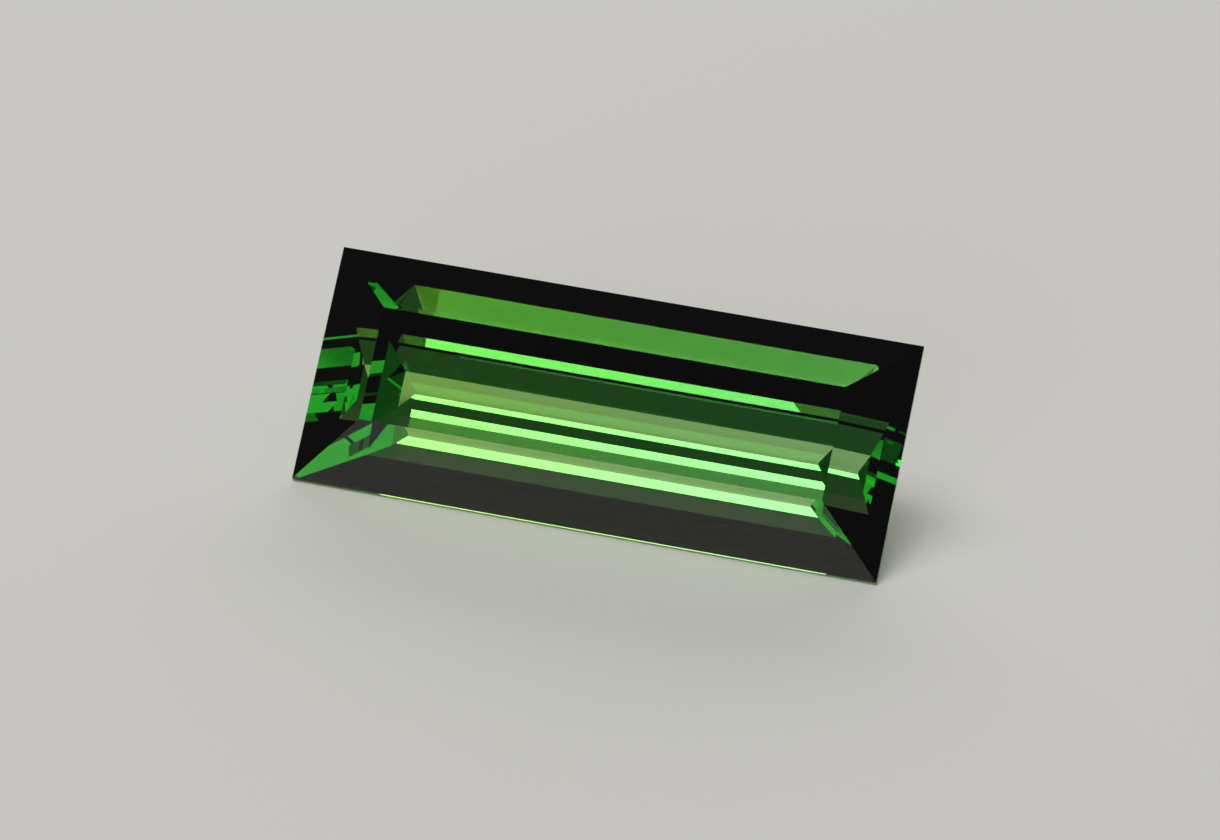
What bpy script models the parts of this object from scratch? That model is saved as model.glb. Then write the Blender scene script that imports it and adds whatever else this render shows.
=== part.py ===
"""A long step-cut green tourmaline, one cut stone lying on its pavilion.

Run with blender --background --python part.py, or from Blender's text editor.
Lengths are in metres and +Z is up. The stone's length runs along X. Its table
faces up and leans towards -Y, because the stone lies on the widest facet of
its pavilion. The origin is under the middle of the stone, on the surface.
"""

import math

import bmesh
import bpy
from mathutils import Matrix, Vector

# Outline of the stone, seen straight down on the table
LENGTH = 0.0160
WIDTH = 0.00650

# Crown: one step on each side, between the girdle and the table
CROWN_HEIGHT = 0.00110
CROWN_SIDE_ANGLE = math.radians(33.0)
CROWN_END_ANGLE = math.radians(33.0)

# Girdle: the narrow upright band between crown and pavilion
GIRDLE_HEIGHT = 0.00014

# Pavilion: three steps that narrow down to a long keel.
# Each step ends at a share of the stone's half width and has one angle for
# the two long sides and one for the two ends, measured from the girdle plane.
STEP_ENDS = (0.36, 0.155)
SIDE_ANGLES = (math.radians(51.6), math.radians(47.6), math.radians(32.6))
END_ANGLES = (math.radians(60.0), math.radians(54.0), math.radians(40.0))
KEEL_WIDTH = 0.00008

# The stone lies on this step of its front side
RESTING_STEP = 0

# Finish, as the stone looks: clear, polished and green
BODY_COLOUR = (0.22, 0.72, 0.20, 1.0)
ABSORPTION_COLOUR = (0.10, 0.78, 0.28, 1.0)
ABSORPTION_DENSITY = 260.0
REFRACTIVE_INDEX = 1.63
POLISH_ROUGHNESS = 0.0


def clear_scene():
    """Remove the objects that the scene opens with."""
    for obj in list(bpy.data.objects):
        bpy.data.objects.remove(obj, do_unlink=True)


def tourmaline_material():
    """Clear green crystal: full transmission, with absorption inside."""
    material = bpy.data.materials.new("green_tourmaline")
    material.use_nodes = True
    nodes = material.node_tree.nodes
    links = material.node_tree.links
    shader = nodes["Principled BSDF"]
    shader.inputs["Base Color"].default_value = BODY_COLOUR
    shader.inputs["Metallic"].default_value = 0.0
    shader.inputs["Roughness"].default_value = POLISH_ROUGHNESS
    shader.inputs["IOR"].default_value = REFRACTIVE_INDEX
    shader.inputs["Transmission Weight"].default_value = 1.0
    absorption = nodes.new("ShaderNodeVolumeAbsorption")
    absorption.inputs["Color"].default_value = ABSORPTION_COLOUR
    absorption.inputs["Density"].default_value = ABSORPTION_DENSITY
    links.new(absorption.outputs["Volume"], nodes["Material Output"].inputs["Volume"])
    return material


def pavilion_levels():
    """Half length, half width and height of each level under the girdle."""
    half_length = LENGTH / 2
    half_width = WIDTH / 2
    height = -GIRDLE_HEIGHT
    levels = [(half_length, half_width, height)]
    shares = STEP_ENDS + (KEEL_WIDTH / WIDTH,)
    for share, side_angle, end_angle in zip(shares, SIDE_ANGLES, END_ANGLES):
        drop = (half_width - share * WIDTH / 2) * math.tan(side_angle)
        half_width = share * WIDTH / 2
        half_length -= drop / math.tan(end_angle)
        height -= drop
        levels.append((half_length, half_width, height))
    return levels


def crown_levels():
    """Half length, half width and height of the table and the girdle's top."""
    side_inset = CROWN_HEIGHT / math.tan(CROWN_SIDE_ANGLE)
    end_inset = CROWN_HEIGHT / math.tan(CROWN_END_ANGLE)
    table = (LENGTH / 2 - end_inset, WIDTH / 2 - side_inset, CROWN_HEIGHT)
    girdle_top = (LENGTH / 2, WIDTH / 2, 0.0)
    return [table, girdle_top]


def corner_points(level):
    """Four corners of a level, anticlockwise seen from above."""
    half_length, half_width, height = level
    signs = ((-1, -1), (1, -1), (1, 1), (-1, 1))
    return [Vector((sx * half_length, sy * half_width, height)) for sx, sy in signs]


def resting_transform(levels):
    """Turn the stone onto its resting facet and put it over the origin."""
    turn = Matrix.Rotation(SIDE_ANGLES[RESTING_STEP], 4, "X")
    points = [turn @ point for level in levels for point in corner_points(level)]
    lowest = min(point.z for point in points)
    middle_y = (min(point.y for point in points) + max(point.y for point in points)) / 2
    return Matrix.Translation(Vector((0.0, -middle_y, -lowest))) @ turn


def build_stone():
    """Join the levels, from the table down to the keel, into one solid."""
    levels = crown_levels() + pavilion_levels()
    mesh_builder = bmesh.new()
    rings = []
    for level in levels:
        rings.append([mesh_builder.verts.new(point) for point in corner_points(level)])
    mesh_builder.faces.new(rings[0])
    for upper, lower in zip(rings, rings[1:]):
        for index in range(4):
            following = (index + 1) % 4
            facet = (upper[index], lower[index], lower[following], upper[following])
            mesh_builder.faces.new(facet)
    mesh_builder.faces.new(reversed(rings[-1]))
    bmesh.ops.transform(mesh_builder, matrix=resting_transform(levels), verts=mesh_builder.verts)
    mesh = bpy.data.meshes.new("tourmaline")
    mesh_builder.to_mesh(mesh)
    mesh_builder.free()
    stone = bpy.data.objects.new("tourmaline", mesh)
    mesh.materials.append(tourmaline_material())
    bpy.context.scene.collection.objects.link(stone)
    return stone


clear_scene()
build_stone()
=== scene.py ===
"""Scene of a long step-cut green tourmaline, lying loose on a pale studio floor.

The stone's shape is the CAD node's own. This file gives it its clear green finish and its
slightly rounded facet junctions, and sets the floor, the lights and the camera round it. Lengths
are in metres.
"""

import logging
import math
from dataclasses import dataclass
from enum import Enum

import bmesh
import bpy
from mathutils import Matrix, Vector

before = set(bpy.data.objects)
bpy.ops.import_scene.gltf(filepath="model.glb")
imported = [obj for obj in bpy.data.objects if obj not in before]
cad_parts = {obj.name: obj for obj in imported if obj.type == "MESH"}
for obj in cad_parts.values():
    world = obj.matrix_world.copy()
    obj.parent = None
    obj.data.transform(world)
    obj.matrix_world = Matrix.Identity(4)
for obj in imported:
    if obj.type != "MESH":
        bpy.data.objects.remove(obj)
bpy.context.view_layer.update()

MM = 0.001

LOG = logging.getLogger("tourmaline")


def srgb_hex(code: str, alpha: float = 1.0) -> tuple[float, float, float, float]:
    """Turn an sRGB hex colour into linear light.

    Args:
        code: Six hex digits, such as "1fa04b".
        alpha: Opacity to put in the fourth place.

    Returns:
        Red, green, blue and alpha, the first three linear.
    """
    channels = []
    for start in (0, 2, 4):
        value = int(code[start:start + 2], 16) / 255.0
        linear = value / 12.92 if value <= 0.04045 else ((value + 0.055) / 1.055) ** 2.4
        channels.append(linear)
    return channels[0], channels[1], channels[2], alpha


def add_node(
    tree: bpy.types.NodeTree,
    kind: str,
    settings: dict[str, object] | None = None,
    values: dict[str, object] | None = None,
    links: dict[str, bpy.types.NodeSocket] | None = None,
) -> bpy.types.Node:
    """Add a node with its settings, socket values and incoming links.

    Args:
        tree: Node tree to add to.
        kind: Blender's name for the node type.
        settings: Properties of the node itself.
        values: Constant for each named input.
        links: Output that feeds each named input.

    Returns:
        The new node.
    """
    node = tree.nodes.new(kind)
    for name, value in (settings or {}).items():
        setattr(node, name, value)
    for name, value in (values or {}).items():
        node.inputs[name].default_value = value
    for name, source in (links or {}).items():
        tree.links.new(source, node.inputs[name])
    return node


def new_material(name: str) -> tuple[bpy.types.Material, bpy.types.NodeTree, bpy.types.Node]:
    """Make a node material with only its output.

    Args:
        name: Name of the material.

    Returns:
        The material, its node tree and its output node.
    """
    material = bpy.data.materials.new(name)
    material.use_nodes = True
    tree = material.node_tree
    tree.nodes.clear()
    return material, tree, tree.nodes.new("ShaderNodeOutputMaterial")


@dataclass(frozen=True)
class PolishedTourmaline:
    """Elbaite tourmaline, sawn, cut in flat facets and polished on a lap.

    It is clear, so the eye sees mostly the light that has crossed the stone,
    mirrored off the pavilion. The green deepens with the length of that way,
    which the absorption gives. The crystal grew with its colour in zones, from
    yellow-green at one end to blue-green at the other.
    """

    ior: float = 1.63
    roughness: float = 0.0
    absorption: str = "22f890"
    density_per_metre: float = 190.0
    yellow_zone: str = "ffe79c"
    middle_zone: str = "ffe7b3"
    blue_zone: str = "ffe7c7"
    half_length: float = 8.0 * MM

    def material(self) -> bpy.types.Material:
        """Build the clear green material with its colour zones along X."""
        material, tree, output = new_material("polished_green_tourmaline")
        place = add_node(tree, "ShaderNodeTexCoord")
        split = add_node(tree, "ShaderNodeSeparateXYZ", links={"Vector": place.outputs["Object"]})
        along = add_node(
            tree,
            "ShaderNodeMapRange",
            settings={"interpolation_type": "SMOOTHSTEP"},
            values={"From Min": -self.half_length, "From Max": self.half_length},
            links={"Value": split.outputs["X"]},
        )
        zones = add_node(tree, "ShaderNodeValToRGB", links={"Fac": along.outputs["Result"]})
        ramp = zones.color_ramp
        ramp.elements[0].color = srgb_hex(self.yellow_zone)
        ramp.elements[1].color = srgb_hex(self.blue_zone)
        middle = ramp.elements.new(0.5)
        middle.color = srgb_hex(self.middle_zone)
        shader = add_node(
            tree,
            "ShaderNodeBsdfPrincipled",
            values={
                "Metallic": 0.0,
                "Roughness": self.roughness,
                "IOR": self.ior,
                "Transmission Weight": 1.0,
            },
            links={"Base Color": zones.outputs["Color"]},
        )
        inside = add_node(
            tree,
            "ShaderNodeVolumeAbsorption",
            values={"Color": srgb_hex(self.absorption), "Density": self.density_per_metre},
        )
        tree.links.new(shader.outputs["BSDF"], output.inputs["Surface"])
        tree.links.new(inside.outputs["Volume"], output.inputs["Volume"])
        return material


@dataclass(frozen=True)
class MattPaper:
    """Pale matt studio paper, pressed from fibres, which scatters light evenly."""

    colour: str = "e4e2dd"
    roughness: float = 0.9
    fibre: float = 0.35 * MM
    relief: float = 0.02 * MM

    def material(self) -> bpy.types.Material:
        """Build the paper with a fine fibre grain."""
        material, tree, output = new_material("pale_studio_paper")
        place = add_node(tree, "ShaderNodeTexCoord")
        grain = add_node(
            tree,
            "ShaderNodeTexNoise",
            values={"Scale": 1.0 / self.fibre, "Detail": 3.0, "Roughness": 0.6},
            links={"Vector": place.outputs["Object"]},
        )
        bump = add_node(
            tree,
            "ShaderNodeBump",
            values={"Strength": 0.35, "Distance": self.relief},
            links={"Height": grain.outputs["Fac"]},
        )
        shader = add_node(
            tree,
            "ShaderNodeBsdfPrincipled",
            values={"Base Color": srgb_hex(self.colour), "Roughness": self.roughness},
            links={"Normal": bump.outputs["Normal"]},
        )
        tree.links.new(shader.outputs["BSDF"], output.inputs["Surface"])
        return material


@dataclass
class CutStone:
    """The stone: one clear solid with flat facets that meet in fine rounded edges."""

    edge_round: float = 0.02 * MM
    edge_segments: int = 2
    finish: PolishedTourmaline = PolishedTourmaline()

    def build(self) -> bpy.types.Object:
        """Dress the CAD node: its finish and its fine rounded facet edges.

        Returns:
            The CAD node, which keeps its mesh.
        """
        stone = bpy.data.objects["tourmaline"]
        stone.data.materials.clear()
        stone.data.materials.append(self.finish.material())
        rounding = stone.modifiers.new("rounded_facet_edges", "BEVEL")
        rounding.width = self.edge_round
        rounding.segments = self.edge_segments
        rounding.limit_method = "ANGLE"
        rounding.angle_limit = math.radians(2.0)
        return stone


class Softbox(Enum):
    """The soft lights, by what each one does in the picture."""

    BACK = "back"
    TOP = "top"
    FRONT = "front"


@dataclass(frozen=True)
class SoftboxPlace:
    """Where a softbox stands, how large it is and how bright.

    Azimuth 0 is towards -Y, the viewer's side, and 90 towards +X.
    """

    azimuth: float
    elevation: float
    distance: float
    width: float
    height: float
    watts: float
    colour: str = "ffffff"


SOFTBOXES = {
    Softbox.BACK: SoftboxPlace(188.0, 22.0, 0.50, 0.60, 0.25, 1.20),
    Softbox.TOP: SoftboxPlace(310.0, 76.0, 0.50, 0.36, 0.36, 1.40),
    Softbox.FRONT: SoftboxPlace(355.0, 15.0, 0.50, 0.25, 0.20, 0.45),
}


@dataclass
class Studio:
    """Pale floor, soft lights and a plain pale surround."""

    floor_half: float = 1.0
    surround: str = "d8d8d6"
    surround_strength: float = 0.10
    paper: MattPaper = MattPaper()

    def build_floor(self) -> bpy.types.Object:
        """Lay the flat paper floor under the stone.

        Returns:
            The floor.
        """
        builder = bmesh.new()
        bmesh.ops.create_grid(builder, x_segments=4, y_segments=4, size=self.floor_half)
        mesh = bpy.data.meshes.new("studio_floor")
        builder.to_mesh(mesh)
        builder.free()
        floor = bpy.data.objects.new("studio_floor", mesh)
        mesh.materials.append(self.paper.material())
        bpy.context.scene.collection.objects.link(floor)
        return floor

    def build_light(self, role: Softbox, place: SoftboxPlace) -> bpy.types.Object:
        """Hang one softbox, facing the stone.

        Args:
            role: What the softbox does.
            place: Its direction, size and brightness.

        Returns:
            The light.
        """
        azimuth = math.radians(place.azimuth)
        elevation = math.radians(place.elevation)
        flat = math.cos(elevation)
        away = Vector((math.sin(azimuth) * flat, -math.cos(azimuth) * flat, math.sin(elevation)))
        data = bpy.data.lights.new(f"softbox_{role.value}", "AREA")
        data.shape = "RECTANGLE"
        data.size = place.width
        data.size_y = place.height
        data.energy = place.watts
        data.color = srgb_hex(place.colour)[:3]
        light = bpy.data.objects.new(f"softbox_{role.value}", data)
        light.location = away * place.distance
        light.rotation_euler = away.to_track_quat("Z", "Y").to_euler()
        light.visible_camera = False
        bpy.context.scene.collection.objects.link(light)
        return light

    def build_surround(self) -> bpy.types.World:
        """Make the plain pale light that comes from all round.

        Returns:
            The world.
        """
        world = bpy.data.worlds.new("pale_surround")
        world.use_nodes = True
        background = world.node_tree.nodes["Background"]
        background.inputs["Color"].default_value = srgb_hex(self.surround)
        background.inputs["Strength"].default_value = self.surround_strength
        bpy.context.scene.world = world
        return world


@dataclass
class PhotoCamera:
    """The camera, in the photograph's place, with its long lens.

    Place and axes are those of the camera seen from the stone's own plane of
    girdle, turned with the stone onto its resting facet.
    """

    place: tuple[float, float, float] = (0.025902, -0.129356, 0.067490)
    rotation: tuple[float, float, float] = (63.576, -4.378, 13.491)
    lens: float = 162.3
    sensor: float = 36.0

    def build(self) -> bpy.types.Object:
        """Set up the camera and make it the scene's own.

        Returns:
            The camera.
        """
        data = bpy.data.cameras.new("photo_camera")
        data.lens = self.lens
        data.sensor_width = self.sensor
        data.sensor_fit = "HORIZONTAL"
        data.clip_start = 0.01
        data.clip_end = 10.0
        camera = bpy.data.objects.new("photo_camera", data)
        camera.location = self.place
        camera.rotation_euler = tuple(math.radians(angle) for angle in self.rotation)
        bpy.context.scene.collection.objects.link(camera)
        bpy.context.scene.camera = camera
        return camera


def set_light_paths() -> None:
    """Let light cross and mirror in the stone often enough to leave it again."""
    scene = bpy.context.scene
    scene.cycles.max_bounces = 24
    scene.cycles.transmission_bounces = 24
    scene.cycles.glossy_bounces = 16
    scene.cycles.diffuse_bounces = 3
    scene.cycles.caustics_refractive = True
    scene.cycles.caustics_reflective = False
    scene.view_settings.view_transform = "Standard"
    scene.view_settings.look = "None"


def main() -> None:
    """Build the camera, the stone and the studio, and report the stone."""
    logging.basicConfig(level=logging.INFO, format="%(name)s: %(message)s")
    PhotoCamera().build()
    stone = CutStone().build()
    LOG.info("%s dressed as polished tourmaline", stone.name)
    studio = Studio()
    studio.build_floor()
    for role, place in SOFTBOXES.items():
        studio.build_light(role, place)
    studio.build_surround()
    set_light_paths()


if __name__ == "__main__":
    main()
